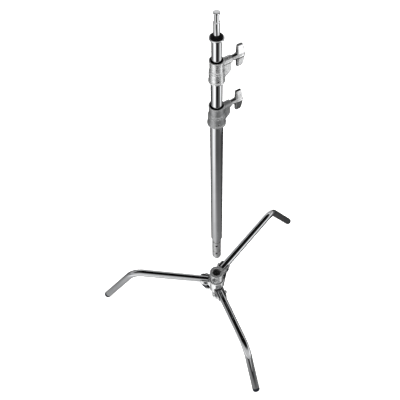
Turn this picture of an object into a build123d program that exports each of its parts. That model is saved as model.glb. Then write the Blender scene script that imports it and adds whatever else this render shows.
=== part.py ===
from build123d import *
import os
from collections import namedtuple
from math import cos, radians, sin, tan

# A century stand: a base of three nested bent legs on a socket hub, and a column of a fixed tube and
# two risers that lifts out of the socket. Millimetres, +Z up, origin on the column's axis at the floor.
# The column is modelled lifted clear of the socket.

# ---- Driving dimensions -------------------------------------------------------------------------

TUBE_WALL = 1.5
FIT_GAP = 0.05          # radial gap of a shaft in its bore
RUNNING_GAP = 0.08      # radial gap of a ring that swings on its post
FACE_GAP = 0.3          # between faces that turn on each other

# Column tubes
MAIN_R = 17.5
RISER_1_R = 15.0
RISER_2_R = 12.5
MAIN_LOW, RISER_1_LOW, RISER_2_LOW = 461.0, 607.0, 680.0
GUIDE_LENGTH = 33.0     # plastic guide round each riser's lower end
GUIDE_LIP = 4.0

# Spigot below the main tube
SPIGOT_R = 14.2
SPIGOT_LOW = 350.0
SPIGOT_NOSE = 6.0
SPIGOT_SHOULDER = 7.0   # height of the cone from the spigot to the main tube
SPIGOT_PLUG = 59.0      # length inside the main tube
SPIGOT_BORE_R = 7.0
SPIGOT_HOLES_Z = (382.0, 425.0)
SPIGOT_HOLE_R = 4.0
SPIGOT_GROOVES_Z = (391.0, 443.0)

# Top of the second riser
RISER_2_TOP = 1257.0
TOP_FLANGE_R = 18.0
TOP_FLANGE = 5.5
TOP_FLANGE_ROUND = 2.6
TOP_PLUG = 25.0
BUMPER_R = 14.6
BUMPER = 4.5
STUD_R = 7.94
STUD_SEAT_R = 7.2       # inside the bumper
STUD_SHANK_R = 6.0
STUD_BODY_LOW = 1267.0
STUD_BODY_TOP = 1303.0
STUD_NECK_R = 6.3
STUD_CAP_LOW = 1326.0
STUD_TOP = 1331.0

# Hub
SOCKET_BORE_R = 14.35
SOCKET_TOP = 243.0
SOCKET_FLOOR = 137.5
HUB_RING_R = 23.4
HUB_RING_LOW = 202.0
POST_R = 19.0
POST_LOW = 133.0
POST_RING_R = 22.0
STEM_R = 10.5
STEM_RING_R = 14.0
STEM_LOW = 87.0
STEM_THREAD_R = 7.5
STEM_THREAD = 8.0
END_NUT_R = 16.0
END_NUT = 12.0

# Leg brackets: an upright ring on the post and a fork whose cheeks hold the leg tube's end
BAND_ABOVE = 12.7       # ring above the leg tube's axis
FORK_HALF_HEIGHT = 10.0
FORK_HALF_WIDTH = 17.0
FORK_SHOULDER_OUT = 43.5
FORK_TIP_HALF_WIDTH = 14.8
FORK_TIP_OUT = 58.0
FORK_SLOT_HALF = 12.8
FORK_SLOT_OUT = 28.5
FORK_BOLT_OUT = 36.5
FORK_EASE = 2.0
FORK_BOLT_R = 4.0
BOLT_HEAD_R = 7.0
BOLT_HEAD = 4.0

# Legs
LEG_R = 12.5
LEG_START_OUT = 29.5
LEG_DROP_ANGLE = 57.5   # below level
LEG_BEND = 65.0
LEG_PLUG = 44.0
FOOT_Z = 8.7            # height of the point on a leg's axis that its foot is measured from
FOOT_CAP = 6.0          # rubber beyond that point
FOOT_ROUND = 5.5
TUBE_END_BACK = 9.0     # tube's end, back from that point
FOOT_STEM = 22.0        # length inside the tube

# Braces
BRACE_PIN_OUT = 52.0
BRACE_PIN_DROP = 20.0   # below the leg tube's axis
BRACE_HALF_WIDTH = 6.5
BRACE_HALF_THICK = 6.0
BRACE_SLOT_R = 8.5
FLUTE_R = 3.4
FLUTE_DEPTH = 1.8
FLUTE_FROM_PIN = 14.0
FLUTED_REACH = 34.0     # braces with their pins closer than this are plain
LUG_R = 6.0
LUG_NECK_R = 3.0
LUG_HALF_THICK = 3.0
LUG_SLOT_OUT = 58.5     # end of the slot in the leg tube that the lug hangs through
BRACE_PIN_R = 3.0
PIN_HEAD_R = 5.0
PIN_HEAD = 2.4
LOWER_RING_R = 16.0
LOWER_RING_HALF = 6.0
LOWER_ARM_OUT = 26.0    # where the arm leaves the level and climbs to its pin

HIGH_AZIMUTH = 52.94
MID_AZIMUTH = 173.64
LOW_AZIMUTH = -67.3

# tube_z is the straight run's height and bend_out its bend's distance out. pin is the lower brace pin,
# out and up. ring_z is the lower ring's height. band_low and band_r are the bracket's upright ring.
Leg = namedtuple("Leg", "name azimuth tube_z bend_out pin ring_z band_low band_r")
HIGH = Leg("high", HIGH_AZIMUTH, 226.0, 336.0, (31.0, 118.0), 109.0, HUB_RING_LOW, HUB_RING_R)
MID = Leg("mid", MID_AZIMUTH, 189.0, 293.0, (34.0, 138.0), 125.0, 170.3, 27.0)
LOW = Leg("low", LOW_AZIMUTH, 153.0, 257.0, (33.0, 120.0), 93.0, 140.3, 23.5)

# Clamps
CLAMP_AZIMUTH = 33.0
CLAMP_BELOW_TOP = 14.0
BOSS_R = 10.0
BOSS_FACE = 40.0
RIB_HALF = 6.5
RIB_CREST = 38.2
SCREW_R = 5.0
SHOE_LENGTH = 8.0
SHOE_GAP = 0.15         # between a shoe's face and the riser it grips
WASHER_R = 8.4
SLEEVE_R = 6.9
SLEEVE_WIDE_R = 9.6
SLEEVE_START = 42.0
SCREW_END = 55.0
WING_START = 56.0
WING_END = 71.5
WING_CREST = 77.0
WING_CROWN_R = 8.6
WING_HALF_SPAN = 32.0
WING_HALF_THICK = 4.5
TUBE_SOCKET = 26.0      # how far a collar goes down over its tube
BUSH_WALL = 1.2
BUSH_LENGTH = 13.0
MOUTH_GAP = 3.2         # recess round the riser in a collar's top
MOUTH_DEPTH = 8.0
SET_SCREW_R = 2.5
SET_SCREW_ABOVE = 12.0  # above the collar's lower face

Collar = namedtuple("Collar", "name base height tube_r riser_r rim_r lower_r band_r upper_r lip_r")
LOWER_COLLAR = Collar("lower", 984.0, 63.0, MAIN_R, RISER_1_R, 24.5, 23.0, 21.4, 19.8, 20.6)
UPPER_COLLAR = Collar("upper", 1129.0, 65.0, RISER_1_R, RISER_2_R, 20.5, 19.4, 18.4, 17.3, 18.5)

# Socket lock and detent screws
LOCK_AZIMUTH = -110.0
LOCK_Z = 223.0
LOCK_R = 4.0
LOCK_BOSS_R = 8.5
LOCK_BOSS_FACE = 26.5
LOCK_PAD_LENGTH = 5.5
LOCK_HEAD_R = 6.2
LOCK_HEAD = 4.6
DETENT_FROM_LEG = 99.0
DETENT_R = 2.5
DETENT_HEAD_R = 4.2
DETENT_HEAD = 2.4

THROUGH = 200.0         # longer than any cut that goes right through


# ---- Planes and shared outlines -----------------------------------------------------------------

def radial_plane(azimuth):
    """Upright plane through the axis: X runs outward along the azimuth and Y is up."""
    a = radians(azimuth)
    return Plane(origin=(0, 0, 0), x_dir=(cos(a), sin(a), 0), z_dir=(sin(a), -cos(a), 0))


def level_plane(azimuth, z):
    """Level plane whose X runs outward along the azimuth."""
    a = radians(azimuth)
    return Plane(origin=(0, 0, z), x_dir=(cos(a), sin(a), 0), z_dir=(0, 0, 1))


def facing_plane(azimuth, out, z):
    """Plane square to the azimuth at a distance out from the axis, facing outward, Y up."""
    a = radians(azimuth)
    origin = (out * cos(a), out * sin(a), z)
    return Plane(origin=origin, x_dir=(-sin(a), cos(a), 0), z_dir=(cos(a), sin(a), 0))


def out_axis(plane):
    """Axis through the origin along a plane's X, to sort by."""
    return Axis((0, 0, 0), plane.x_dir)


def across_axis(plane):
    """Axis through the origin along a plane's normal, to sort or filter by."""
    return Axis((0, 0, 0), plane.z_dir)


def disc(plane, radius, hole=0.0):
    """Sketch of a disc, or of a washer if it has a hole."""
    with BuildSketch(plane) as outline:
        Circle(radius)
        if hole:
            Circle(hole, mode=Mode.SUBTRACT)
    return outline.sketch


def spots(plane, radius, *centres):
    """Sketch of equal circles at centres."""
    with BuildSketch(plane) as outline:
        with Locations(*centres):
            Circle(radius)
    return outline.sketch


def hull(plane, *circles):
    """Sketch of the tightest outline round circles given as (x, y, radius)."""
    with BuildSketch(plane) as outline:
        for x, y, radius in circles:
            with Locations((x, y)):
                Circle(radius)
        make_hull()
    return outline.sketch


def polygon(plane, *points):
    """Sketch of a closed outline through points."""
    with BuildSketch(plane) as outline:
        with BuildLine():
            Polyline(*points, close=True)
        make_face()
    return outline.sketch


def block(plane, x_low, x_high, y_low, y_high):
    """Sketch of a rectangle between two corners."""
    corners = (x_low, y_low), (x_high, y_low), (x_high, y_high), (x_low, y_high)
    return polygon(plane, *corners)


def finish(piece, label):
    """Label a finished piece and write it as its own file."""
    piece.part.label = label
    export_step(piece.part, f"parts/{label}.step")


def washer(label, r_in, r_out, *spans):
    """Flat rings on the column's axis, one for each (low, high) span, with eased outer edges."""
    with BuildPart() as rings:
        for low, high in spans:
            extrude(disc(Plane.XY.offset(low), r_out, r_in), amount=high - low)
        outer = rings.edges().filter_by(GeomType.CIRCLE).group_by(SortBy.RADIUS)[-1]
        chamfer(outer, 0.4)
    finish(rings, label)


# ---- Hub and leg brackets -----------------------------------------------------------------------

def fork(leg):
    """Two cheeks beside the leg tube's end, joined at the ring, with the cross bolt's hole."""
    side = radial_plane(leg.azimuth)
    top = level_plane(leg.azimuth, leg.tube_z)
    rounding = FORK_TIP_OUT - FORK_HALF_HEIGHT
    low, high = leg.tube_z - FORK_HALF_HEIGHT, leg.tube_z + FORK_HALF_HEIGHT
    with BuildPart() as cheeks:
        extrude(block(side, 0, rounding, low, high), amount=FORK_HALF_WIDTH, both=True)
        tip = spots(side, FORK_HALF_HEIGHT, (rounding, leg.tube_z))
        extrude(tip, amount=FORK_HALF_WIDTH, both=True)
        taper = polygon(
            top,
            (0, FORK_HALF_WIDTH), (FORK_SHOULDER_OUT, FORK_HALF_WIDTH),
            (FORK_TIP_OUT, FORK_TIP_HALF_WIDTH), (FORK_TIP_OUT, -FORK_TIP_HALF_WIDTH),
            (FORK_SHOULDER_OUT, -FORK_HALF_WIDTH), (0, -FORK_HALF_WIDTH),
        )
        extrude(taper, amount=2 * FORK_HALF_HEIGHT, both=True, mode=Mode.INTERSECT)
        rims = cheeks.faces().filter_by(Plane.XY).edges().filter_by(GeomType.LINE)
        fillet(rims.filter_by(out_axis(side)), FORK_EASE)
        slot = block(top, FORK_SLOT_OUT, THROUGH, -FORK_SLOT_HALF, FORK_SLOT_HALF)
        extrude(slot, amount=2 * FORK_HALF_HEIGHT, both=True, mode=Mode.SUBTRACT)
        bolt = spots(side, FORK_BOLT_R + FIT_GAP, (FORK_BOLT_OUT, leg.tube_z))
        extrude(bolt, amount=THROUGH, both=True, mode=Mode.SUBTRACT)
    return cheeks.part


def screw_seat(azimuth, out, z, boss_r, boss_face):
    """Round boss that grows out of a ring to a flat face, inside the open builder."""
    extrude(disc(facing_plane(azimuth, out, z), boss_r), amount=boss_face - out)


def make_hub():
    """Socket ring with the high leg's fork, the post that the other legs swing on, and the stem."""
    post_base = Plane.XY.offset(POST_LOW)
    with BuildPart() as hub:
        add(fork(HIGH))
        ring = disc(Plane.XY.offset(HUB_RING_LOW), HUB_RING_R)
        extrude(ring, amount=SOCKET_TOP - HUB_RING_LOW)
        screw_seat(LOCK_AZIMUTH, SOCKET_BORE_R + 2, LOCK_Z, LOCK_BOSS_R, LOCK_BOSS_FACE)
        extrude(disc(post_base, POST_R), amount=SOCKET_TOP - POST_LOW)
        extrude(disc(Plane.XY.offset(STEM_LOW), STEM_R), amount=POST_LOW - STEM_LOW)
        thread = disc(Plane.XY.offset(STEM_LOW), STEM_THREAD_R)
        extrude(thread, amount=-STEM_THREAD)
        bore = disc(Plane.XY.offset(SOCKET_FLOOR), SOCKET_BORE_R)
        extrude(bore, amount=THROUGH, mode=Mode.SUBTRACT)
        mouth = hub.faces().sort_by(Axis.Z)[-1].edges().filter_by(GeomType.CIRCLE)
        chamfer(mouth, 0.7)
        lock_hole = disc(facing_plane(LOCK_AZIMUTH, 0, LOCK_Z), LOCK_R + FIT_GAP)
        extrude(lock_hole, amount=THROUGH, mode=Mode.SUBTRACT)
    finish(hub, "hub_casting")


def make_end_nut():
    """Domed nut on the stem's thread, with a slot for a pin spanner."""
    top = Plane.XY.offset(STEM_LOW - FACE_GAP)
    with BuildPart() as nut:
        extrude(disc(top, END_NUT_R), amount=-END_NUT)
        fillet(nut.faces().sort_by(Axis.Z)[0].edges(), 4.0)
        extrude(disc(top, STEM_THREAD_R + FIT_GAP), amount=-STEM_THREAD, mode=Mode.SUBTRACT)
        flats = block(Plane.XY.offset(STEM_LOW - END_NUT), -2, 2, -THROUGH, THROUGH)
        extrude(flats, amount=2.0, mode=Mode.SUBTRACT)
    finish(nut, "hub_end_nut")


def make_bracket(leg):
    """Ring that swings on the post, with the leg's fork."""
    base = Plane.XY.offset(leg.band_low)
    top = leg.tube_z + BAND_ABOVE
    with BuildPart() as bracket:
        extrude(disc(base, leg.band_r), amount=top - leg.band_low)
        rims = bracket.edges().filter_by(GeomType.CIRCLE)
        chamfer(rims, 1.2)
        add(fork(leg))
        bore = disc(base.offset(-1), POST_R + RUNNING_GAP)
        extrude(bore, amount=THROUGH, mode=Mode.SUBTRACT)
        if leg is MID:
            detent = disc(facing_plane(leg.azimuth + DETENT_FROM_LEG, 0, leg.tube_z), DETENT_R + FIT_GAP)
            extrude(detent, amount=THROUGH, mode=Mode.SUBTRACT)
    finish(bracket, f"leg_{leg.name}_bracket")


def slotted_screw(label, azimuth, z, tip, face, shank_r, head_r, head):
    """Round-headed screw along an azimuth, from its tip to a head on a face, with a driver slot."""
    with BuildPart() as screw:
        extrude(disc(facing_plane(azimuth, tip, z), shank_r), amount=face - tip)
        extrude(disc(facing_plane(azimuth, face, z), head_r), amount=head)
        crown = screw.faces().sort_by(across_axis(facing_plane(azimuth, 0, z)))[-1]
        fillet(crown.edges(), 0.45 * head)
        slot = block(facing_plane(azimuth, face + head, z), -0.6, 0.6, -THROUGH, THROUGH)
        extrude(slot, amount=-0.35 * head, mode=Mode.SUBTRACT)
    finish(screw, label)


def make_socket_lock():
    """Pad that presses on the spigot and the socket-head screw that drives it."""
    pad_start = SOCKET_BORE_R - FIT_GAP
    with BuildPart() as pad:
        extrude(disc(facing_plane(LOCK_AZIMUTH, 0, LOCK_Z), LOCK_R), amount=pad_start + LOCK_PAD_LENGTH)
        hollow = disc(Plane.XY.offset(LOCK_Z - LOCK_BOSS_R), pad_start)
        extrude(hollow, amount=2 * LOCK_BOSS_R, mode=Mode.SUBTRACT)
    finish(pad, "socket_lock_pad")

    head_face = LOCK_BOSS_FACE + FACE_GAP
    with BuildPart() as screw:
        start = pad_start + LOCK_PAD_LENGTH + 0.1
        extrude(disc(facing_plane(LOCK_AZIMUTH, start, LOCK_Z), LOCK_R), amount=head_face - start)
        extrude(disc(facing_plane(LOCK_AZIMUTH, head_face, LOCK_Z), LOCK_HEAD_R), amount=LOCK_HEAD)
        outward = out_axis(radial_plane(LOCK_AZIMUTH))
        chamfer(screw.faces().sort_by(outward)[-1].edges(), 0.7)
        with BuildSketch(facing_plane(LOCK_AZIMUTH, head_face + LOCK_HEAD, LOCK_Z)):
            RegularPolygon(3.0, 6)
        extrude(amount=-3.2, mode=Mode.SUBTRACT)
    finish(screw, "socket_lock_screw")


# ---- Legs ---------------------------------------------------------------------------------------

def foot_point(leg):
    """Point on the leg's axis that its foot is measured from, out and up."""
    return leg.bend_out + (leg.tube_z - FOOT_Z) / tan(radians(LEG_DROP_ANGLE)), FOOT_Z


def drop_direction():
    """Unit direction of the leg's lower run, out and up."""
    return cos(radians(LEG_DROP_ANGLE)), -sin(radians(LEG_DROP_ANGLE))


def drop_plane(leg, back):
    """Plane square to the lower run, back from the foot's point, facing up the tube."""
    out, up = foot_point(leg)
    step_out, step_up = drop_direction()
    out, up = out - back * step_out, up - back * step_up
    a = radians(leg.azimuth)
    uphill = (-step_out * cos(a), -step_out * sin(a), -step_up)
    return Plane(origin=(out * cos(a), out * sin(a), up), z_dir=uphill)


def make_leg_tube(leg):
    """Level run, one bend and a straight run down to the foot, slotted under its inner end."""
    out, up = foot_point(leg)
    step_out, step_up = drop_direction()
    end = out - TUBE_END_BACK * step_out, up - TUBE_END_BACK * step_up
    with BuildPart() as tube:
        with BuildLine(radial_plane(leg.azimuth)) as route:
            FilletPolyline((LEG_START_OUT, leg.tube_z), (leg.bend_out, leg.tube_z), end, radius=LEG_BEND)
        with BuildSketch(Plane(origin=route.line @ 0, z_dir=route.line % 0)):
            Circle(LEG_R)
            Circle(LEG_R - TUBE_WALL, mode=Mode.SUBTRACT)
        sweep(path=route.line)
        bolt = spots(radial_plane(leg.azimuth), FORK_BOLT_R + FIT_GAP, (FORK_BOLT_OUT, leg.tube_z))
        extrude(bolt, amount=THROUGH, both=True, mode=Mode.SUBTRACT)
        half = LUG_HALF_THICK + FIT_GAP
        slot = block(level_plane(leg.azimuth, leg.tube_z), 0, LUG_SLOT_OUT, -half, half)
        extrude(slot, amount=-2 * LEG_R, mode=Mode.SUBTRACT)
    finish(tube, f"leg_{leg.name}_tube")


def make_end_plug(leg):
    """Round plug in the tube's inner end, with a lug through the tube's slot for the brace."""
    side = radial_plane(leg.azimuth)
    pin = BRACE_PIN_OUT, leg.tube_z - BRACE_PIN_DROP
    neck_z = leg.tube_z - LEG_R + 2 * LUG_NECK_R
    with BuildPart() as plug:
        end = facing_plane(leg.azimuth, LEG_START_OUT + FACE_GAP, leg.tube_z)
        extrude(disc(end, LEG_R - TUBE_WALL - FIT_GAP), amount=LEG_PLUG)
        chamfer(plug.edges().filter_by(GeomType.CIRCLE), 1.0)
        neck = (pin[0] - LUG_NECK_R, neck_z, LUG_NECK_R), (pin[0] + LUG_NECK_R, neck_z, LUG_NECK_R)
        extrude(hull(side, (*pin, LUG_R), *neck), amount=LUG_HALF_THICK, both=True)
        bolt = spots(side, FORK_BOLT_R + FIT_GAP, (FORK_BOLT_OUT, leg.tube_z))
        extrude(bolt, amount=THROUGH, both=True, mode=Mode.SUBTRACT)
        extrude(spots(side, BRACE_PIN_R + FIT_GAP, pin), amount=THROUGH, both=True, mode=Mode.SUBTRACT)
    finish(plug, f"leg_{leg.name}_end_plug")


def make_fork_bolt(leg):
    """Hexagon bolt through the fork, with a washer face, and its nut as a second solid."""
    side = radial_plane(leg.azimuth)
    centre = FORK_BOLT_OUT, leg.tube_z
    head_side = side.offset(FORK_HALF_WIDTH)
    nut_side = side.offset(-FORK_HALF_WIDTH)
    with BuildPart() as bolt:
        extrude(spots(nut_side, FORK_BOLT_R, centre), amount=2 * FORK_HALF_WIDTH)
        extrude(spots(nut_side, FORK_BOLT_R, centre), amount=-BOLT_HEAD - 1.5)
        with BuildSketch(head_side):
            with Locations(centre):
                RegularPolygon(BOLT_HEAD_R, 6)
        extrude(amount=BOLT_HEAD)
        with BuildSketch(nut_side):
            with Locations(centre):
                RegularPolygon(BOLT_HEAD_R, 6)
                Circle(FORK_BOLT_R + FIT_GAP, mode=Mode.SUBTRACT)
        extrude(amount=-BOLT_HEAD)
    finish(bolt, f"leg_{leg.name}_fork_bolt")


def make_brace(leg):
    """Fluted link from the leg's lug down to the lower ring's arm, slotted at both ends."""
    side = radial_plane(leg.azimuth)
    upper = BRACE_PIN_OUT, leg.tube_z - BRACE_PIN_DROP
    reach = Vector(*upper) - Vector(*leg.pin)
    with BuildPart() as link:
        outline = hull(side, (*upper, BRACE_HALF_WIDTH), (*leg.pin, BRACE_HALF_WIDTH))
        extrude(outline, amount=BRACE_HALF_THICK, both=True)
        for end in (upper, leg.pin):
            slot = spots(side, BRACE_SLOT_R, end)
            extrude(slot, amount=LUG_HALF_THICK + 0.1, both=True, mode=Mode.SUBTRACT)
        extrude(spots(side, BRACE_PIN_R + FIT_GAP, upper, leg.pin), amount=THROUGH, both=True,
                mode=Mode.SUBTRACT)
        if reach.length > FLUTED_REACH:
            inset = reach.normalized() * FLUTE_FROM_PIN
            first = Vector(*leg.pin) + inset
            last = Vector(*upper) - inset
            for face in (side.offset(BRACE_HALF_THICK), side.offset(-BRACE_HALF_THICK)):
                flute = hull(face, (first.X, first.Y, FLUTE_R), (last.X, last.Y, FLUTE_R))
                extrude(flute, amount=FLUTE_DEPTH, both=True, mode=Mode.SUBTRACT)
    finish(link, f"leg_{leg.name}_brace")


def make_brace_pins(leg):
    """Two headed rivets, one at each end of the brace."""
    side = radial_plane(leg.azimuth)
    with BuildPart() as pins:
        for centre in ((BRACE_PIN_OUT, leg.tube_z - BRACE_PIN_DROP), leg.pin):
            extrude(spots(side, BRACE_PIN_R, centre), amount=BRACE_HALF_THICK, both=True)
            for face, way in ((side.offset(BRACE_HALF_THICK), 1), (side.offset(-BRACE_HALF_THICK), -1)):
                extrude(spots(face, PIN_HEAD_R, centre), amount=way * PIN_HEAD)
        rims = pins.edges().filter_by(GeomType.CIRCLE).group_by(SortBy.RADIUS)[-1]
        outer = rims.filter_by(lambda e: abs(side.to_local_coords(e.center()).Z) > BRACE_HALF_THICK + 1)
        fillet(outer, 1.6)
    finish(pins, f"leg_{leg.name}_brace_pins")


def make_lower_ring(leg):
    """Ring on the stem with an arm out to the brace's lower pin."""
    side = radial_plane(leg.azimuth)
    low, high = leg.ring_z - LOWER_RING_HALF, leg.ring_z + LOWER_RING_HALF
    base = Plane.XY.offset(low)
    with BuildPart() as ring:
        extrude(disc(base, LOWER_RING_R), amount=high - low)
        chamfer(ring.edges().filter_by(GeomType.CIRCLE), 0.8)
        extrude(block(side, 0, LOWER_ARM_OUT, low, high), amount=LUG_HALF_THICK, both=True)
        arm = hull(side, (LOWER_ARM_OUT, leg.ring_z, LOWER_RING_HALF), (*leg.pin, LUG_R))
        extrude(arm, amount=LUG_HALF_THICK, both=True)
        bore = disc(base.offset(-1), STEM_R + RUNNING_GAP)
        extrude(bore, amount=THROUGH, mode=Mode.SUBTRACT)
        extrude(spots(side, BRACE_PIN_R + FIT_GAP, leg.pin), amount=THROUGH, both=True,
                mode=Mode.SUBTRACT)
    finish(ring, f"leg_{leg.name}_lower_ring")


def make_foot(leg):
    """Rubber plug in the tube's end with a rounded cap, worn to a small flat where it stands."""
    with BuildPart() as foot:
        extrude(disc(drop_plane(leg, -FOOT_CAP), LEG_R), amount=FOOT_CAP + TUBE_END_BACK)
        rim = foot.edges().filter_by(GeomType.CIRCLE).sort_by(Axis.Z)[0]
        fillet(rim, FOOT_ROUND)
        stem = disc(drop_plane(leg, TUBE_END_BACK), LEG_R - TUBE_WALL - FIT_GAP)
        extrude(stem, amount=FOOT_STEM)
        split(bisect_by=Plane.XY, keep=Keep.TOP)
    finish(foot, f"leg_{leg.name}_foot")


# ---- Column -------------------------------------------------------------------------------------

def make_spigot():
    """Turned foot of the column: grooved spigot, cone to the main tube and a plug inside it."""
    cone_low = MAIN_LOW - SPIGOT_SHOULDER
    with BuildPart() as spigot:
        extrude(disc(Plane.XY.offset(SPIGOT_LOW), SPIGOT_R), amount=cone_low - SPIGOT_LOW)
        nose = spigot.faces().sort_by(Axis.Z)[0].edges()
        chamfer(nose, SPIGOT_NOSE, 2.6)
        with BuildSketch(Plane.XY.offset(cone_low)):
            Circle(SPIGOT_R)
        with BuildSketch(Plane.XY.offset(MAIN_LOW)):
            Circle(MAIN_R)
        loft()
        plug = disc(Plane.XY.offset(MAIN_LOW), MAIN_R - TUBE_WALL - FIT_GAP)
        extrude(plug, amount=SPIGOT_PLUG)
        chamfer(spigot.faces().sort_by(Axis.Z)[-1].edges(), 2.0)
        for z in SPIGOT_GROOVES_Z:
            ring = disc(Plane.XY.offset(z - 1.2), SPIGOT_R + 1, SPIGOT_R - 0.7)
            extrude(ring, amount=2.4, mode=Mode.SUBTRACT)
        bore = disc(Plane.XY.offset(SPIGOT_LOW - 1), SPIGOT_BORE_R)
        extrude(bore, amount=SPIGOT_PLUG, mode=Mode.SUBTRACT)
        holes = spots(Plane.XZ, SPIGOT_HOLE_R, *((0, z) for z in SPIGOT_HOLES_Z))
        extrude(holes, amount=THROUGH, both=True, mode=Mode.SUBTRACT)
    finish(spigot, "spigot")


def make_tube(label, radius, low, high):
    """Straight column tube."""
    with BuildPart() as tube:
        extrude(disc(Plane.XY.offset(low), radius, radius - TUBE_WALL), amount=high - low)
    finish(tube, label)


def make_guide(label, riser_r, bore_r, low):
    """Plastic guide round a riser's lower end, with a lip under it."""
    with BuildPart() as guide:
        sleeve = disc(Plane.XY.offset(low), bore_r - FIT_GAP, riser_r)
        extrude(sleeve, amount=GUIDE_LENGTH)
        lip = disc(Plane.XY.offset(low), bore_r - FIT_GAP, riser_r - TUBE_WALL)
        extrude(lip, amount=-GUIDE_LIP)
        chamfer(guide.faces().sort_by(Axis.Z)[0].edges(), 0.6)
    finish(guide, label)


def clamp_height(collar):
    """Height of a collar's clamp screw."""
    return collar.base + collar.height - CLAMP_BELOW_TOP


def make_collar(collar):
    """Cast collar: rim, stepped barrel with a band, and a ribbed boss for the clamp screw."""
    base, top = collar.base, collar.base + collar.height
    waist = base + 0.52 * collar.height
    screw_z = clamp_height(collar)
    rib_side = radial_plane(CLAMP_AZIMUTH)
    with BuildPart() as casting:
        rib = polygon(
            rib_side,
            (8, base + 4), (collar.lower_r + 0.5, base + 4), (RIB_CREST - 2, base + 17),
            (RIB_CREST, base + 23), (RIB_CREST, screw_z), (8, screw_z),
        )
        extrude(rib, amount=RIB_HALF, both=True)
        corners = casting.edges().filter_by(across_axis(rib_side)).sort_by(out_axis(rib_side))
        fillet(corners[2:-1], 2.5)
        fillet(casting.faces().filter_by(across_axis(rib_side)).edges(), 1.5)
        barrel = polygon(
            Plane.XZ,
            (0, base), (collar.rim_r - 0.8, base), (collar.rim_r, base + 0.8), (collar.rim_r, base + 4.5),
            (collar.lower_r, base + 6.5), (collar.lower_r, waist - 3), (collar.band_r, waist - 2),
            (collar.band_r, waist + 2), (collar.upper_r, waist + 4), (collar.upper_r, top - 5.5),
            (collar.lip_r, top - 4), (collar.lip_r, top - 0.8), (collar.lip_r - 0.8, top), (0, top),
        )
        revolve(barrel, axis=Axis.Z)
        boss = disc(facing_plane(CLAMP_AZIMUTH, 8, screw_z), BOSS_R)
        extrude(boss, amount=BOSS_FACE - 8)
        chamfer(casting.faces().sort_by(out_axis(rib_side))[-1].edges(), 1.0)
        bores = (
            (base - 1, base + TUBE_SOCKET, collar.tube_r),
            (base, base + TUBE_SOCKET + 1 + BUSH_LENGTH, collar.riser_r + BUSH_WALL + FIT_GAP),
            (base, top + 1, collar.riser_r + 0.25),
            (top - MOUTH_DEPTH, top + 1, collar.riser_r + MOUTH_GAP),
        )
        for low, high, radius in bores:
            extrude(disc(Plane.XY.offset(low), radius), amount=high - low, mode=Mode.SUBTRACT)
        screw_hole = disc(facing_plane(CLAMP_AZIMUTH, 0, screw_z), SCREW_R + FIT_GAP)
        extrude(screw_hole, amount=THROUGH, mode=Mode.SUBTRACT)
        for azimuth in set_screw_azimuths():
            side_hole = disc(facing_plane(azimuth, 0, base + SET_SCREW_ABOVE), SET_SCREW_R + FIT_GAP)
            extrude(side_hole, amount=THROUGH, mode=Mode.SUBTRACT)
    finish(casting, f"{collar.name}_collar")


def set_screw_azimuths():
    """Directions of the two grub screws that hold a collar on its tube."""
    return CLAMP_AZIMUTH + 110, CLAMP_AZIMUTH + 250


def make_collar_fittings(collar):
    """Guide bush in the collar and the grub screws that hold it on its tube."""
    bush_low = collar.base + TUBE_SOCKET + 0.5
    bush_out, bush_in = collar.riser_r + BUSH_WALL, collar.riser_r + RUNNING_GAP
    washer(f"{collar.name}_collar_bush", bush_in, bush_out, (bush_low, bush_low + BUSH_LENGTH))
    with BuildPart() as grubs:
        for azimuth in set_screw_azimuths():
            start = collar.tube_r + FIT_GAP
            seat = facing_plane(azimuth, start, collar.base + SET_SCREW_ABOVE)
            length = collar.lower_r - 0.6 - start
            extrude(disc(seat, SET_SCREW_R), amount=length)
            with BuildSketch(seat.offset(length)) as socket:
                RegularPolygon(1.4, 6)
            extrude(socket.sketch, amount=-2.0, mode=Mode.SUBTRACT)
    finish(grubs, f"{collar.name}_collar_grub_screws")


def make_clamp(collar):
    """Brake shoe, screw, washer and wing of one collar's clamp."""
    z = clamp_height(collar)
    shoe_face = collar.riser_r + SHOE_GAP
    shoe_back = collar.riser_r + SHOE_LENGTH

    with BuildPart() as shoe:
        extrude(disc(facing_plane(CLAMP_AZIMUTH, 0, z), SCREW_R), amount=shoe_back)
        hollow = disc(Plane.XY.offset(z - 2 * SCREW_R), shoe_face)
        extrude(hollow, amount=4 * SCREW_R, mode=Mode.SUBTRACT)
    finish(shoe, f"{collar.name}_brake_shoe")

    screw_start = shoe_back + 0.1
    with BuildPart() as screw:
        extrude(disc(facing_plane(CLAMP_AZIMUTH, screw_start, z), SCREW_R), amount=SCREW_END - screw_start)
        chamfer(screw.edges().filter_by(GeomType.CIRCLE), 0.8)
    finish(screw, f"{collar.name}_clamp_screw")

    washer_start = BOSS_FACE + FACE_GAP
    with BuildPart() as ring:
        flat = disc(facing_plane(CLAMP_AZIMUTH, washer_start, z), WASHER_R, SCREW_R + FIT_GAP)
        extrude(flat, amount=SLEEVE_START - washer_start)
    finish(ring, f"{collar.name}_clamp_washer")

    make_wing(collar, z)


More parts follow.
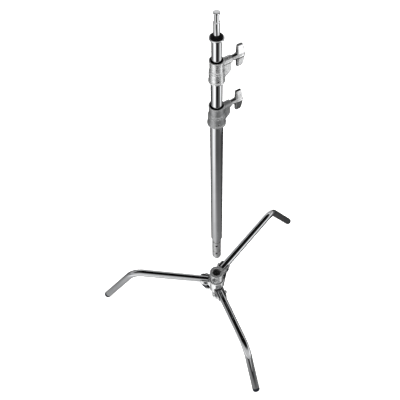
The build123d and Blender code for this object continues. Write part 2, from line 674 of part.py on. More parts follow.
def make_wing(collar, z):
    """Cast wing handle: a flared sleeve over the screw and an upright blade that swells at its middle."""
    side = radial_plane(CLAMP_AZIMUTH)
    with BuildPart() as wing:
        with BuildSketch(side, mode=Mode.PRIVATE) as blade:
            with BuildLine():
                low_in, low_out = (WING_START, z - WING_HALF_SPAN), (WING_END, z - WING_HALF_SPAN)
                high_in, high_out = (WING_START, z + WING_HALF_SPAN), (WING_END, z + WING_HALF_SPAN)
                ThreePointArc(low_out, (WING_CREST - 1, z), high_out)
                Line(high_out, high_in)
                ThreePointArc(high_in, (WING_START + 3, z), low_in)
                Line(low_in, low_out)
            make_face()
            fillet(blade.vertices(), 4.5)
        extrude(blade.sketch, amount=WING_HALF_THICK, both=True)
        rims = wing.faces().filter_by(across_axis(side)).edges()
        fillet(rims, 2.2)
        with BuildSketch(facing_plane(CLAMP_AZIMUTH, SLEEVE_START, z)):
            Circle(SLEEVE_R)
        with BuildSketch(facing_plane(CLAMP_AZIMUTH, WING_START + 3, z)):
            Circle(SLEEVE_WIDE_R)
        loft()
        crown = disc(facing_plane(CLAMP_AZIMUTH, WING_START, z), WING_CROWN_R)
        extrude(crown, amount=WING_CREST - WING_START)
        fillet(wing.faces().sort_by(out_axis(side))[-1].edges(), 3.0)
        hole = disc(facing_plane(CLAMP_AZIMUTH, SLEEVE_START, z), SCREW_R + FIT_GAP)
        extrude(hole, amount=SCREW_END + 0.5 - SLEEVE_START, mode=Mode.SUBTRACT)
    finish(wing, f"{collar.name}_clamp_wing")


def make_top():
    """Flanged cap in the second riser, black bumper ring and the turned stud."""
    with BuildPart() as cap:
        plug = disc(Plane.XY.offset(RISER_2_TOP), RISER_2_R - TUBE_WALL - FIT_GAP)
        extrude(plug, amount=-TOP_PLUG)
        extrude(disc(Plane.XY.offset(RISER_2_TOP), TOP_FLANGE_R), amount=TOP_FLANGE)
        rim = cap.edges().filter_by(GeomType.CIRCLE).group_by(SortBy.RADIUS)[-1].sort_by(Axis.Z)
        fillet(rim[-1], TOP_FLANGE_ROUND)
        fillet(rim[0], 0.8)
        bore = disc(Plane.XY.offset(RISER_2_TOP + TOP_FLANGE), STUD_SHANK_R + FIT_GAP)
        extrude(bore, amount=-TOP_PLUG, mode=Mode.SUBTRACT)
    finish(cap, "top_cap")

    seat = RISER_2_TOP + TOP_FLANGE
    with BuildPart() as bumper:
        ring = disc(Plane.XY.offset(seat), BUMPER_R, STUD_SEAT_R + FIT_GAP)
        extrude(ring, amount=BUMPER)
        outer = bumper.edges().filter_by(GeomType.CIRCLE).group_by(SortBy.RADIUS)[-1]
        chamfer(outer.sort_by(Axis.Z)[-1], 2.4, 2.8)
    finish(bumper, "bumper_washer")

    with BuildPart() as stud:
        outline = polygon(
            Plane.XZ,
            (0, seat - TOP_PLUG + 3), (STUD_SHANK_R, seat - TOP_PLUG + 3), (STUD_SHANK_R, seat),
            (STUD_SEAT_R, seat), (STUD_SEAT_R, STUD_BODY_LOW), (STUD_R, STUD_BODY_LOW),
            (STUD_R, STUD_BODY_TOP), (STUD_NECK_R, STUD_BODY_TOP + 2.5),
            (STUD_NECK_R, STUD_CAP_LOW - 1.5), (STUD_R, STUD_CAP_LOW), (STUD_R, STUD_TOP - 1.2),
            (STUD_R - 1.2, STUD_TOP), (0, STUD_TOP),
        )
        revolve(outline, axis=Axis.Z)
    finish(stud, "baby_stud")


# ---- Build everything ---------------------------------------------------------------------------

os.makedirs("parts", exist_ok=True)

make_hub()
make_end_nut()
make_socket_lock()
spacer = LOW.tube_z + BAND_ABOVE + FACE_GAP, MID.band_low - FACE_GAP
retainer = POST_LOW + 0.5, LOW.band_low - FACE_GAP
washer("post_spacer", POST_R + FIT_GAP, POST_RING_R, spacer)
washer("post_retaining_ring", POST_R + FIT_GAP, POST_RING_R, retainer)
stem_gaps = (
    (MID.ring_z + LOWER_RING_HALF + FACE_GAP, POST_LOW - FIT_GAP),
    (HIGH.ring_z + LOWER_RING_HALF + FACE_GAP, MID.ring_z - LOWER_RING_HALF - FACE_GAP),
    (LOW.ring_z + LOWER_RING_HALF + FACE_GAP, HIGH.ring_z - LOWER_RING_HALF - FACE_GAP),
)
washer("stem_washers", STEM_R + FIT_GAP, STEM_RING_R, *stem_gaps)

for leg in (HIGH, MID, LOW):
    if leg is not HIGH:
        make_bracket(leg)
    make_leg_tube(leg)
    make_end_plug(leg)
    make_fork_bolt(leg)
    make_brace(leg)
    make_brace_pins(leg)
    make_lower_ring(leg)
    make_foot(leg)
slotted_screw(
    "leg_mid_detent_screw", MID.azimuth + DETENT_FROM_LEG, MID.tube_z, POST_R + 1.0, MID.band_r,
    DETENT_R, DETENT_HEAD_R, DETENT_HEAD,
)

make_spigot()
make_tube("main_tube", MAIN_R, MAIN_LOW, LOWER_COLLAR.base + TUBE_SOCKET)
make_tube("riser_1_tube", RISER_1_R, RISER_1_LOW, UPPER_COLLAR.base + TUBE_SOCKET)
make_tube("riser_2_tube", RISER_2_R, RISER_2_LOW, RISER_2_TOP)
make_guide("riser_1_guide", RISER_1_R, MAIN_R - TUBE_WALL, RISER_1_LOW)
make_guide("riser_2_guide", RISER_2_R, RISER_1_R - TUBE_WALL, RISER_2_LOW)
for collar in (LOWER_COLLAR, UPPER_COLLAR):
    make_collar(collar)
    make_collar_fittings(collar)
    make_clamp(collar)
make_top()
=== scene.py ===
"""Looks of a century stand: materials, cast wings, rubber feet, studio stage, lights and camera.

Everything is in metres in the frame of the CAD model, with +Z up and the floor at z = 0. The viewer
stands in front, on the -Y side.
"""

import math

import bmesh
import bpy
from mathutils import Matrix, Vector


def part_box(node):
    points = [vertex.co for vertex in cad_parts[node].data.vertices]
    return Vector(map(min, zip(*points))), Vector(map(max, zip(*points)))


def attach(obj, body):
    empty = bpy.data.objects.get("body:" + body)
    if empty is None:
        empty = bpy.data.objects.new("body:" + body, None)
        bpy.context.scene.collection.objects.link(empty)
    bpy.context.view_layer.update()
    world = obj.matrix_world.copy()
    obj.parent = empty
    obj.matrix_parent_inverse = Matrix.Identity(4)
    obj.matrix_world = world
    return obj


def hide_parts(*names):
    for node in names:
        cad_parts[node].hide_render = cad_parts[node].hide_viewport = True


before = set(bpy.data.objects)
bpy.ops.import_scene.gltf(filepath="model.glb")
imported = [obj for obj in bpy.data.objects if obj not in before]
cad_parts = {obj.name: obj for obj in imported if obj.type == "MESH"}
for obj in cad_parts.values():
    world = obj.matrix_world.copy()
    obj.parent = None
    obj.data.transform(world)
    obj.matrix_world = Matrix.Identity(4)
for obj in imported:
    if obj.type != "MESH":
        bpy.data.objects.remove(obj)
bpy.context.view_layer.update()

MM = 0.001
CLAMP_AZIMUTH = math.radians(33.0)
LEG_DROP = math.radians(57.5)

# Azimuth in degrees, bend's distance out and level run's height in millimetres
LEGS = {"high": (52.94, 336.0, 226.0), "mid": (173.64, 293.0, 189.0), "low": (-67.3, 257.0, 153.0)}


# ---- Node helpers -------------------------------------------------------------------------------

RAY_SAMPLES = 6


class Graph:
    """Short way to add and link the nodes of one node tree."""

    def __init__(self, tree):
        self.tree = tree
        self.tree.nodes.clear()

    def feed(self, socket, value):
        """Link an output to a socket, or set the socket's own value."""
        if isinstance(value, bpy.types.NodeSocket):
            self.tree.links.new(value, socket)
        else:
            socket.default_value = value

    def add(self, kind, inputs=None, **settings):
        """Add a node, set its properties, and feed its inputs by name or number."""
        node = self.tree.nodes.new(kind)
        for key, value in settings.items():
            setattr(node, key, value)
        for key, value in (inputs or {}).items():
            self.feed(node.inputs[key], value)
        return node

    def math(self, operation, *values):
        """A math node's output."""
        node = self.add("ShaderNodeMath", operation=operation)
        for socket, value in zip(node.inputs, values):
            self.feed(socket, value)
        return node.outputs[0]

    def plus(self, value, *amounts):
        """A value with each (mask, amount) added to it in turn."""
        for mask, amount in amounts:
            value = self.math("MULTIPLY_ADD", mask, amount, value)
        return value

    def span(self, value, low, high, start=0.0, end=1.0):
        """A value mapped from low..high to start..end and held there."""
        return self.add("ShaderNodeMapRange", {"Value": value, 1: low, 2: high, 3: start, 4: end}).outputs[0]

    def ramp(self, factor, *stops):
        """A grey colour ramp through (position, value) stops."""
        node = self.add("ShaderNodeValToRGB", {"Fac": factor})
        elements = node.color_ramp.elements
        while len(elements) < len(stops):
            elements.new(1.0)
        for element, (position, value) in zip(elements, stops):
            element.position = position
            element.color = (value, value, value, 1.0)
        return node.outputs["Color"]

    def blend(self, factor, a, b):
        """A colour mixed from a to b."""
        node = self.add("ShaderNodeMix", data_type="RGBA")
        self.feed(node.inputs["Factor"], factor)
        self.feed(node.inputs[6], a)
        self.feed(node.inputs[7], b)
        return node.outputs[2]

    def noise(self, vector, scale, detail=2.0, roughness=0.5):
        """A noise texture's value."""
        inputs = {"Vector": vector, "Scale": scale, "Detail": detail, "Roughness": roughness}
        return self.add("ShaderNodeTexNoise", inputs).outputs["Fac"]

    def stretched(self, vector, x, y, z):
        """Coordinates scaled along each axis."""
        return self.add("ShaderNodeMapping", {"Vector": vector, "Scale": (x, y, z)}).outputs[0]

    def edges(self, radius):
        """1 along the edges, where a rounded normal would turn away from the true one."""
        rounded = self.add("ShaderNodeBevel", {"Radius": radius}, samples=RAY_SAMPLES).outputs[0]
        true = self.add("ShaderNodeNewGeometry").outputs["Normal"]
        alike = self.add("ShaderNodeVectorMath", {0: rounded, 1: true}, operation="DOT_PRODUCT")
        return self.span(alike.outputs["Value"], 0.995, 0.86)

    def hollows(self, distance):
        """1 deep in corners and slots, where little light reaches; the materials darken these as painted
        shade.
        """
        node = self.add("ShaderNodeAmbientOcclusion", {"Distance": distance}, samples=RAY_SAMPLES)
        return self.span(node.outputs["AO"], 0.82, 0.55)

    def bump(self, height, strength, distance, rounding=0.0):
        """A bumped normal, over edges rounded by a radius."""
        node = self.add("ShaderNodeBump", {"Height": height, "Strength": strength, "Distance": distance})
        if rounding:
            rounded = self.add("ShaderNodeBevel", {"Radius": rounding}, samples=RAY_SAMPLES)
            self.feed(node.inputs["Normal"], rounded.outputs[0])
        return node.outputs[0]


def tint(colour, factor):
    """A colour with its brightness scaled, opaque."""
    return tuple(min(channel * factor, 1.0) for channel in colour) + (1.0,)


def new_material(name):
    """A material's graph, its principled shader and its object coordinates."""
    material = bpy.data.materials.new(name)
    material.use_nodes = True
    graph = Graph(material.node_tree)
    shader = graph.add("ShaderNodeBsdfPrincipled")
    graph.add("ShaderNodeOutputMaterial", {"Surface": shader.outputs[0]})
    place = graph.add("ShaderNodeTexCoord").outputs["Object"]
    return material, graph, shader, place


# ---- Materials ----------------------------------------------------------------------------------

def polished_chrome(name, rough, colour=(0.84, 0.85, 0.865)):
    """Mirror chrome on tube: rubbed rings, handling haze and plating ripple."""
    material, graph, shader, place = new_material(name)
    smudge = graph.span(graph.noise(place, 11.0, 4.0, 0.6), 0.45, 0.7)
    rings = graph.noise(graph.stretched(place, 25.0, 25.0, 900.0), 1.0, 3.0, 0.7)
    rubs = graph.span(rings, 0.56, 0.78)
    roughness = graph.plus(rough, (smudge, 0.02), (rubs, 0.025))
    tone = graph.blend(smudge, tint(colour, 1.0), tint(colour, 0.93))
    graph.feed(shader.inputs["Base Color"], tone)
    graph.feed(shader.inputs["Roughness"], roughness)
    ripple = graph.noise(place, 70.0, 2.0, 0.4)
    height = graph.plus(ripple, (rings, 0.12))
    graph.feed(shader.inputs["Normal"], graph.bump(height, 0.02, 0.0006))
    shader.inputs["Metallic"].default_value = 1.0
    return material


def satin_casting(name, colour, rough, metallic, grain, rounding=0.0009, rub_and_highlight=(0.0011, 1.35)):
    """Satin-plated casting: pebbled skin, mottled plating, edges brightened as rubbed wear and painted
    highlight, and hollows darkened nearly black as painted shade.

    The edge pair gives the width of the brightened edges and how much brighter they are: rubbed wear plus a
    painted highlight.
    """
    material, graph, shader, place = new_material(name)
    pebble = graph.noise(place, 850.0, 3.0, 0.6)
    mottle = graph.noise(place, 260.0, 3.0, 0.65)
    cloud = graph.noise(place, 45.0, 3.0, 0.6)
    wear_and_highlight = graph.edges(rub_and_highlight[0])
    painted_shade = graph.hollows(0.025)
    tone = graph.blend(graph.span(cloud, 0.35, 0.7), tint(colour, 1.05), tint(colour, 0.88))
    tone = graph.blend(graph.span(mottle, 0.5, 0.68), tone, tint(colour, 0.72))
    # Edges brightened: rubbed wear plus a painted highlight.
    tone = graph.blend(wear_and_highlight, tone, tint(colour, rub_and_highlight[1]))
    # Hollows darkened nearly black: painted shade.
    tone = graph.blend(painted_shade, tone, tint(colour, 0.001))
    graph.feed(shader.inputs["Base Color"], tone)
    roughness = graph.plus(rough, (cloud, 0.1), (mottle, 0.08), (wear_and_highlight, -0.05), (painted_shade, 0.6))
    graph.feed(shader.inputs["Roughness"], roughness)
    height = graph.plus(pebble, (mottle, 0.9))
    graph.feed(shader.inputs["Normal"], graph.bump(height, grain, 0.0005, rounding))
    shader.inputs["Metallic"].default_value = metallic
    return material


def machined(name, colour, rough, hollow=0.003):
    """Turned or milled metal: tool rings, stains, edges brightened as rubbed wear and painted highlight, and
    corners darkened as painted shade.
    """
    material, graph, shader, place = new_material(name)
    rings = graph.noise(graph.stretched(place, 60.0, 60.0, 1100.0), 1.0, 2.0, 0.6)
    stain = graph.noise(place, 140.0, 3.0, 0.6)
    wear_and_highlight = graph.edges(0.0006)
    painted_shade = graph.hollows(hollow)
    tone = graph.blend(graph.span(stain, 0.42, 0.7), tint(colour, 1.0), tint(colour, 0.7))
    # Edges brightened: rubbed wear plus a painted highlight.
    tone = graph.blend(wear_and_highlight, tone, tint(colour, 1.3))
    # Corners darkened nearly black: painted shade.
    tone = graph.blend(painted_shade, tone, tint(colour, 0.03))
    graph.feed(shader.inputs["Base Color"], tone)
    graph.feed(shader.inputs["Roughness"], graph.plus(rough, (rings, 0.12), (painted_shade, 0.3)))
    graph.feed(shader.inputs["Normal"], graph.bump(rings, 0.1, 0.0003, rounding=0.0004))
    shader.inputs["Metallic"].default_value = 1.0
    return material


def moulded(name, colour, rough, grain, scuffing=0.06, shine=0.5):
    """Moulded plastic or rubber: fine grain, pale scuffs and paler edges from wear."""
    material, graph, shader, place = new_material(name)
    fine = graph.noise(place, grain, 3.0, 0.6)
    scuff = graph.noise(graph.stretched(place, 1.0, 1.0, 2.5), 170.0, 4.0, 0.7)
    scuffs = graph.math("MULTIPLY", graph.span(scuff, 0.55, 0.72), 0.6)
    pale = graph.math("MAXIMUM", scuffs, graph.math("MULTIPLY", graph.edges(0.0008), 0.6))
    lifted = tuple(channel + scuffing for channel in colour)
    graph.feed(shader.inputs["Base Color"], graph.blend(pale, tint(colour, 1.0), tint(lifted, 1.0)))
    graph.feed(shader.inputs["Roughness"], graph.plus(rough, (scuffs, 0.3)))
    graph.feed(shader.inputs["Normal"], graph.bump(fine, 0.3, 0.0004, rounding=0.0006))
    shader.inputs["Specular IOR Level"].default_value = shine
    return material


def dress(node, material):
    """Give a CAD node a material in every slot."""
    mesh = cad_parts[node].data
    if not mesh.materials:
        mesh.materials.append(material)
    for index in range(len(mesh.materials)):
        mesh.materials[index] = material


chrome_main = polished_chrome("chrome_main", 0.05)
chrome_riser = polished_chrome("chrome_riser", 0.008)
chrome_leg = polished_chrome("chrome_leg", 0.01)
chrome_turned = polished_chrome("chrome_turned", 0.02)
casting = satin_casting("casting", (0.84, 0.845, 0.85), 0.16, metallic=0.9, grain=0.1)
hub_casting = satin_casting("hub_casting", (0.8, 0.805, 0.81), 0.1, metallic=0.85, grain=0.2)
# Lower collar: edges brightened 2.6 times over a wider band, a painted highlight on its rims with some
# rubbed wear.
lower_casting = satin_casting(
    "lower_casting", (0.38, 0.385, 0.39), 0.25, metallic=0.85, grain=0.6, rub_and_highlight=(0.003, 2.6))
wing_casting = satin_casting(
    "wing_casting", (0.86, 0.865, 0.87), 0.03, metallic=1.0, grain=0.05, rounding=0.0003)
pale_casting = satin_casting("pale_casting", (0.86, 0.865, 0.87), 0.45, metallic=0.1, grain=0.2)
spigot_steel = machined("spigot_steel", (0.86, 0.865, 0.87), 0.26, hollow=0.01)
hardware = machined("hardware", (0.56, 0.57, 0.58), 0.16)
blackened = machined("blackened", (0.05, 0.052, 0.056), 0.18)
brass = machined("brass", (0.72, 0.54, 0.26), 0.2)
nylon = moulded("nylon", (0.022, 0.022, 0.024), 0.42, 1500.0)
black_plastic = moulded(
    "black_plastic", (0.0015, 0.0015, 0.0018), 0.2, 1800.0, scuffing=0.006, shine=0.12)
rubber = moulded("foot_rubber", (0.004, 0.007, 0.014), 0.38, 1200.0, scuffing=0.015)

FINISHES = {
    "main_tube": chrome_main,
    "spigot": spigot_steel,
    "riser_1_tube": chrome_riser,
    "riser_2_tube": chrome_riser,
    "leg_high_tube": chrome_leg,
    "leg_mid_tube": chrome_leg,
    "leg_low_tube": chrome_leg,
    "top_cap": chrome_turned,
    "baby_stud": chrome_turned,
    "bumper_washer": black_plastic,
    "upper_collar": casting,
    "lower_collar": lower_casting,
    "hub_end_nut": pale_casting,
    "socket_lock_pad": brass,
}
ENDINGS = (
    (("_brake_shoe",), brass),
    (("_guide", "_bush"), nylon),
    (("_casting", "_bracket", "_lower_ring"), hub_casting),
    (("_brace",), blackened),
)


def dress_nodes():
    """Give each CAD node its material, by its name or its ending."""
    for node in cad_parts:
        material = FINISHES.get(node, hardware)
        for endings, finish in ENDINGS:
            if node not in FINISHES and node.endswith(endings):
                material = finish
        dress(node, material)


# ---- Mesh helpers -------------------------------------------------------------------------------

def new_piece(name, bm, material):
    """A smooth-shaded object from a bmesh."""
    bmesh.ops.recalc_face_normals(bm, faces=bm.faces)
    mesh = bpy.data.meshes.new(name)
    bm.to_mesh(mesh)
    bm.free()
    mesh.materials.append(material)
    piece = bpy.data.objects.new(name, mesh)
    bpy.context.collection.objects.link(piece)
    mesh.shade_smooth()
    return piece


def bridge_sections(bm, sections):
    """Skin between closed sections of equally many points, capped at both ends."""
    rings = [[bm.verts.new(point) for point in section] for section in sections]
    for ring, following in zip(rings, rings[1:]):
        for index in range(len(ring)):
            after = (index + 1) % len(ring)
            bm.faces.new((ring[index], ring[after], following[after], following[index]))
    bm.faces.new(rings[0])
    bm.faces.new(reversed(rings[-1]))


def ring_points(centre, across, up, radius, count=48):
    """Points of a circle round a centre in the plane of two directions."""
    steps = (2 * math.pi * step / count for step in range(count))
    return [centre + across * math.cos(turn) * radius + up * math.sin(turn) * radius for turn in steps]


def melt(piece, voxel, passes):
    """Join a piece's closed shells into one skin and smooth it, in its mesh."""
    remesh = piece.modifiers.new("melt", "REMESH")
    remesh.mode = "VOXEL"
    remesh.voxel_size = voxel
    soften = piece.modifiers.new("soften", "SMOOTH")
    soften.factor = 0.5
    soften.iterations = passes
    graph = bpy.context.evaluated_depsgraph_get()
    mesh = bpy.data.meshes.new_from_object(piece.evaluated_get(graph))
    piece.modifiers.clear()
    piece.data = mesh
    mesh.shade_smooth()


# ---- Clamp wings --------------------------------------------------------------------------------

# Outline of the sleeve as (out from the column's axis, radius), and the blade's sizes, in millimetres
WING_SLEEVE = (
    (42.0, 6.6), (42.6, 6.9), (52.0, 7.9), (59.0, 9.0), (66.0, 9.0), (73.5, 8.4), (76.2, 6.8), (77.0, 4.5),
)
WING_HALF_SPAN = 32.0
WING_BLADE_IN = 56.0
WING_BLADE_OUT = 71.8
WING_CREST = 4.6
WING_HALF_THICK = 4.0
WING_THICKENING = 2.9
WING_END_ROUND = 0.8
WING_END_THINNING = 0.7
SECTION_POINTS = 40
RUN_SQUARENESS = 0.25
SIDE_SQUARENESS = 0.35
BLADE_STEPS = 60
MELT_VOXEL = 0.5


def blade_section(place, outward, across, height):
    """Squarish section of a wing's blade at a height in millimetres above the screw."""
    reach = abs(height) / WING_HALF_SPAN
    outer = WING_BLADE_OUT + WING_CREST * (1.0 - reach * reach)
    eased = max(abs(height) - WING_HALF_SPAN + WING_END_ROUND, 0.0)
    middle = (WING_BLADE_IN + outer) / 2
    half = (outer - WING_BLADE_IN) / 2 - eased
    thick = WING_HALF_THICK + WING_THICKENING * (1.0 - reach) - WING_END_THINNING * eased
    points = []
    for step in range(SECTION_POINTS):
        turn = 2 * math.pi * (step + 0.5) / SECTION_POINTS
        run = math.copysign(abs(math.cos(turn)) ** RUN_SQUARENESS, math.cos(turn))
        side = math.copysign(abs(math.sin(turn)) ** SIDE_SQUARENESS, math.sin(turn))
        flat = outward * (middle + half * run) + across * thick * side
        points.append(place + flat * MM + Vector((0.0, 0.0, height * MM)))
    return points


def make_wing(collar):
    """Cast wing: a flared sleeve and a swelling blade, melted together and smoothed."""
    low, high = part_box(f"{collar}_clamp_wing")
    place = Vector((0.0, 0.0, (low[2] + high[2]) / 2))
    outward = Vector((math.cos(CLAMP_AZIMUTH), math.sin(CLAMP_AZIMUTH), 0.0))
    across = Vector((-outward.y, outward.x, 0.0))
    up = Vector((0.0, 0.0, 1.0))
    bm = bmesh.new()
    sleeve = [ring_points(place + outward * out * MM, across, up, radius * MM)
              for out, radius in WING_SLEEVE]
    bridge_sections(bm, sleeve)
    heights = [WING_HALF_SPAN * (2 * step / BLADE_STEPS - 1) for step in range(BLADE_STEPS + 1)]
    bridge_sections(bm, [blade_section(place, outward, across, height) for height in heights])
    wing = new_piece(f"{collar}_wing_casting", bm, wing_casting)
    melt(wing, MELT_VOXEL * MM, passes=2)
    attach(wing, f"{collar}_knob")
    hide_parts(f"{collar}_clamp_wing")


# ---- Feet ---------------------------------------------------------------------------------------

# A foot's point is where its leg's axis is FOOT_Z above the floor. The cap lies beyond the point, and
# the groove, the tube's end and the stem lie back from it along the leg, all in millimetres.
FOOT_Z = 8.7
FOOT_R = 12.5
FOOT_CAP = 6.0
FOOT_ROUND = 5.5
FOOT_ARC_STEPS = 9
FOOT_FACE_RING = 3.0
FOOT_GROOVE = 0.5
FOOT_STEM_R = 10.9
FOOT_STEM_END = 31.0
FOOT_STEM_CHAMFER = 1.0
TUBE_END = 9.0
FOOT_CREASE = math.radians(40.0)


def foot_profile():
    """Plug's outline as (back from the foot's point, radius): cap, groove and stem."""
    flat_r = FOOT_R - FOOT_ROUND
    outline = [(-FOOT_CAP, flat_r - FOOT_FACE_RING), (-FOOT_CAP, flat_r)]
    for step in range(1, FOOT_ARC_STEPS):
        turn = math.radians(90.0 * step / FOOT_ARC_STEPS)
        inward = FOOT_ROUND * (1.0 - math.sin(turn))
        outline.append((FOOT_ROUND * (1.0 - math.cos(turn)) - FOOT_CAP, FOOT_R - inward))
    outline += [(FOOT_ROUND - FOOT_CAP, FOOT_R), (TUBE_END - 1.2, FOOT_R)]
    outline += [(TUBE_END - 0.9, FOOT_R - FOOT_GROOVE), (TUBE_END - 0.1, FOOT_R - FOOT_GROOVE)]
    outline += [(TUBE_END, FOOT_R - 0.8), (TUBE_END + 0.1, FOOT_STEM_R)]
    outline.append((FOOT_STEM_END - FOOT_STEM_CHAMFER, FOOT_STEM_R))
    outline.append((FOOT_STEM_END, FOOT_STEM_R - FOOT_STEM_CHAMFER))
    return outline


def foot_axes(leg):
    """A foot's point, and the directions back along its leg, across it and up from it."""
    degrees, bend_out, tube_z = LEGS[leg]
    azimuth = math.radians(degrees)
    outward = Vector((math.cos(azimuth), math.sin(azimuth), 0.0))
    out = bend_out + (tube_z - FOOT_Z) / math.tan(LEG_DROP)
    point = (outward * out + Vector((0.0, 0.0, FOOT_Z))) * MM
    back = -outward * math.cos(LEG_DROP) + Vector((0.0, 0.0, math.sin(LEG_DROP)))
    across = Vector((-outward.y, outward.x, 0.0))
    return point, back, across, back.cross(across)


def cut_at_floor(bm):
    """Take away what is under the floor and close the cut with a flat face."""
    everything = bm.verts[:] + bm.edges[:] + bm.faces[:]
    cut = bmesh.ops.bisect_plane(bm, geom=everything, plane_no=(0, 0, -1), clear_outer=True)
    rim = [part for part in cut["geom_cut"] if isinstance(part, bmesh.types.BMEdge)]
    bmesh.ops.contextual_create(bm, geom=rim)


def make_foot(leg):
    """Rubber plug with a rounded cap in a leg's end, flattened where it meets the floor."""
    point, back, across, up = foot_axes(leg)
    bm = bmesh.new()
    sections = [ring_points(point + back * along * MM, across, up, radius * MM)
                for along, radius in foot_profile()]
    bridge_sections(bm, sections)
    cut_at_floor(bm)
    foot = new_piece(f"{leg}_rubber_foot", bm, rubber)
    crease = foot.modifiers.new("crease", "EDGE_SPLIT")
    crease.split_angle = FOOT_CREASE
    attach(foot, "base" if leg == "high" else f"{leg}_leg")
    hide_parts(f"leg_{leg}_foot")


# ---- Stage --------------------------------------------------------------------------------------

def plain_surface(name, colour, glow):
    """Plain matt surface of the stage, with a little light of its own."""
    material, _, shader, _ = new_material(name)
    shader.inputs["Base Color"].default_value = (*colour, 1.0)
    shader.inputs["Roughness"].default_value = 0.9
    shader.inputs["Emission Color"].default_value = (1.0, 1.0, 1.0, 1.0)
    shader.inputs["Emission Strength"].default_value = glow
    return material


FLOOR_R = 11.0
DOME_R = 11.5
FLOOR_SIDES = 96


def make_floor():
    """Round pale floor and a pale dome round it, for the camera and kept out of the chrome."""
    bpy.ops.mesh.primitive_circle_add(vertices=FLOOR_SIDES, radius=FLOOR_R, fill_type="NGON")
    floor = bpy.context.object
    floor.name = "floor"
    floor.data.materials.append(plain_surface("floor_white", (0.92, 0.92, 0.92), 0.8))
    bpy.ops.mesh.primitive_uv_sphere_add(segments=64, ring_count=32, radius=DOME_R)
    dome = bpy.context.object
    dome.name = "dome"
    dome.data.materials.append(plain_surface("dome_white", (0.0, 0.0, 0.0), 1.0))
    for backdrop in (floor, dome):
        backdrop.visible_glossy = False
    dome.visible_diffuse = False
    dome.visible_shadow = False


# Brightness is divided by this gain in the ramps, which suit values up to about 1, and given it after
SKY_GAIN = 1.3

# Brightness of the surroundings by degrees above the horizon, for each side of the studio
FRONT_WALL = (
    (-25, 0.36), (0, 0.5), (18, 0.6), (27, 0.6), (40, 0.55), (47, 0.3), (56, 0.06), (63, 0.006), (90, 0.002),
)
LEFT_WALL = (
    (-25, 0.2), (-10, 0.15), (5, 0.2), (15, 0.45), (26, 0.36), (36, 0.06), (44, 0.01), (53, 0.003),
    (90, 0.002),
)
RIGHT_WALL = (
    (-25, 0.08), (-8, 0.1), (-1, 0.3), (4, 1.0), (17, 1.1), (25, 0.2), (36, 0.03), (48, 0.003),
    (90, 0.002),
)
BACK_WALL = (
    (-25, 0.14), (0, 0.3), (17, 0.22), (30, 0.5), (36.5, 0.9), (37.9, 0.8), (38.2, 0.02), (42, 0.004),
    (90, 0.002),
)
# Brightness of the swept floor by degrees round from the front, positive to the right, for six
# distances from the column
CENTRE_SWEEP = (
    (-180, 0.03), (-110, 0.1), (-80, 0.6), (-55, 1.3), (-15, 1.4), (-2, 0.1), (30, 0.04), (48, 0.2),
    (60, 1.1), (80, 0.9), (95, 0.05), (180, 0.03),
)
NEAR_SWEEP = (
    (-180, 0.06), (-130, 0.12), (-99, 0.33), (-74, 0.43), (-53, 0.6), (-34, 0.55), (-15, 0.52), (3, 0.3),
    (21, 0.21), (40, 0.18), (80, 0.18), (110, 0.1), (150, 0.05), (180, 0.06),
)
MIDDLE_SWEEP = (
    (-180, 0.04), (-120, 0.08), (-99, 0.2), (-74, 0.6), (-53, 1.15), (-34, 0.95), (-20, 0.4), (-12, 0.16),
    (0, 0.09), (40, 0.1), (60, 0.12), (81, 0.09), (107, 0.03), (180, 0.04),
)
FAR_SWEEP = (
    (-180, 0.05), (-125, 0.06), (-100, 0.1), (-77, 0.5), (-55, 1.1), (-34, 1.3), (-22, 1.2), (-12, 0.4),
    (-8, 0.004), (18, 0.002), (30, 0.07), (42, 0.11), (62, 0.12), (69, 0.85), (85, 1.3), (99, 0.5),
    (120, 0.15), (150, 0.05), (180, 0.04),
)
STUD_SWEEP = (
    (-180, 0.05), (-110, 0.15), (-80, 0.55), (-55, 0.9), (-42, 0.6), (-24, 0.5), (-17, 0.01), (3, 0.004),
    (14, 0.05), (24, 0.3), (45, 1.1), (66, 1.3), (84, 1.2), (97, 0.1), (180, 0.04),
)
HORIZON_SWEEP = (
    (-180, 0.04), (-110, 0.1), (-80, 0.3), (-55, 0.8), (-34, 1.2), (-10, 1.2), (8, 0.6), (26, 0.22),
    (58, 0.5), (66, 1.3), (80, 1.3), (88, 0.1), (180, 0.04),
)
# Distances in metres from the column where each sweep starts and ends blending into the next
SWEEP_RADII = (0.12, 0.24, 0.34, 0.77, 0.88, 1.12, 1.5, 1.6, 2.2, 3.0)
# A pale sector of floor straight behind the stand, by angle from the front
BEHIND = (math.radians(158.0), math.radians(168.0))
BEHIND_GLOW = 0.65
SWEEP_Z = -0.0005


def make_world():
    """Studio as the chrome sees it: bright walls under a dark ceiling."""
    world = bpy.data.worlds.new("studio")
    world.use_nodes = True
    graph = Graph(world.node_tree)
    direction = graph.add("ShaderNodeTexCoord").outputs["Generated"]
    x, y, z = graph.add("ShaderNodeSeparateXYZ", {0: direction}).outputs
    height = graph.math("MULTIPLY_ADD", graph.math("ARCSINE", z), 1 / math.pi, 0.5)
    level = graph.math("SQRT", graph.math("SUBTRACT", 1.0001, graph.math("MULTIPLY", z, z)))
    to_front = graph.math("DIVIDE", graph.math("MULTIPLY", y, -1.0), level)
    to_right = graph.math("DIVIDE", x, level)

    def wall(stops):
        return graph.ramp(height, *((0.5 + degrees / 180, value / SKY_GAIN) for degrees, value in stops))

    sides = graph.blend(graph.span(to_right, -0.2, 0.2), wall(LEFT_WALL), wall(RIGHT_WALL))
    walls = graph.blend(graph.span(to_front, 0.25, 0.8), sides, wall(FRONT_WALL))
    walls = graph.blend(graph.span(to_front, -0.2, -0.85), walls, wall(BACK_WALL))
    background = graph.add("ShaderNodeBackground", {"Color": walls, "Strength": SKY_GAIN})
    graph.add("ShaderNodeOutputWorld", {0: background.outputs[0]})
    bpy.context.scene.world = world


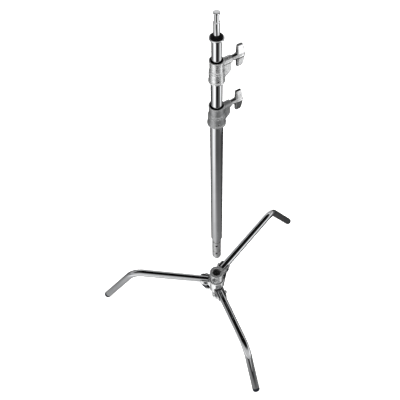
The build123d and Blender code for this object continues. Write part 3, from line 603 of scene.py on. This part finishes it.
def sweep_material():
    """Glow of the swept floor as the chrome sees it, by direction and distance from the column."""
    material = bpy.data.materials.new("sweep_glow")
    material.use_nodes = True
    material.cycles.emission_sampling = "NONE"
    graph = Graph(material.node_tree)
    place = graph.add("ShaderNodeTexCoord").outputs["Object"]
    x, y, _ = graph.add("ShaderNodeSeparateXYZ", {0: place}).outputs
    turn = graph.math("ARCTAN2", x, graph.math("MULTIPLY", y, -1.0))
    around = graph.math("MULTIPLY_ADD", turn, 0.5 / math.pi, 0.5)
    away = graph.add("ShaderNodeVectorMath", {0: place}, operation="LENGTH").outputs["Value"]

    def sweep(stops):
        return graph.ramp(around, *((0.5 + degrees / 360, value / SKY_GAIN) for degrees, value in stops))

    glow = sweep(CENTRE_SWEEP)
    outer = (NEAR_SWEEP, MIDDLE_SWEEP, FAR_SWEEP, STUD_SWEEP, HORIZON_SWEEP)
    for start, end, stops in zip(SWEEP_RADII[::2], SWEEP_RADII[1::2], outer):
        glow = graph.blend(graph.span(away, start, end), glow, sweep(stops))
    behind = graph.span(graph.math("ABSOLUTE", turn), BEHIND[0], BEHIND[1])
    glow = graph.blend(behind, glow, tint((1.0, 1.0, 1.0), BEHIND_GLOW))
    emission = graph.add("ShaderNodeEmission", {"Color": glow, "Strength": SKY_GAIN})
    graph.add("ShaderNodeOutputMaterial", {"Surface": emission.outputs[0]})
    return material


def make_sweep():
    """Floor as the chrome sees it, seen by nothing else."""
    place = (0.0, 0.0, SWEEP_Z)
    bpy.ops.mesh.primitive_circle_add(vertices=FLOOR_SIDES, radius=FLOOR_R, fill_type="NGON", location=place)
    sweep = bpy.context.object
    sweep.name = "floor_sweep"
    sweep.data.materials.append(sweep_material())
    sweep.visible_camera = False
    sweep.visible_diffuse = False
    sweep.visible_shadow = False
    sweep.visible_transmission = False


def softbox(name, place, target, size, power):
    """Square area light that lights matt surfaces without showing in the chrome."""
    data = bpy.data.lights.new(name, "AREA")
    data.shape = "SQUARE"
    data.size = size
    data.energy = power
    lamp = bpy.data.objects.new(name, data)
    bpy.context.collection.objects.link(lamp)
    lamp.location = place
    lamp.rotation_euler = (Vector(target) - Vector(place)).to_track_quat("-Z", "Y").to_euler()
    lamp.visible_glossy = False


def make_lights():
    """Large overhead softbox and a gentler one from the front left."""
    softbox("top_light", (0.0, -0.3, 3.6), (0.0, 0.0, 0.2), 4.5, 170.0)
    softbox("left_light", (-2.6, -1.8, 1.9), (0.0, 0.0, 0.6), 1.6, 60.0)


CAMERA_PLACE = (0.0, -1.2173, 2.27375)
CAMERA_TILT = math.radians(36.92)
CAMERA_LENS = 61.93
CAMERA_SHIFT = -0.0415


def make_camera():
    """Camera in front and well above, looking down at the stand."""
    data = bpy.data.cameras.new("camera")
    data.sensor_width = 36.0
    data.lens = CAMERA_LENS
    data.shift_x = CAMERA_SHIFT
    data.clip_start = 0.05
    data.clip_end = 60.0
    camera = bpy.data.objects.new("camera", data)
    bpy.context.collection.objects.link(camera)
    camera.location = CAMERA_PLACE
    camera.rotation_euler = (CAMERA_TILT, 0.0, 0.0)
    bpy.context.scene.camera = camera


dress_nodes()
for collar in ("lower", "upper"):
    make_wing(collar)
for leg in LEGS:
    make_foot(leg)
make_floor()
make_sweep()
make_world()
make_lights()
make_camera()
bpy.context.scene.view_settings.view_transform = "Standard"
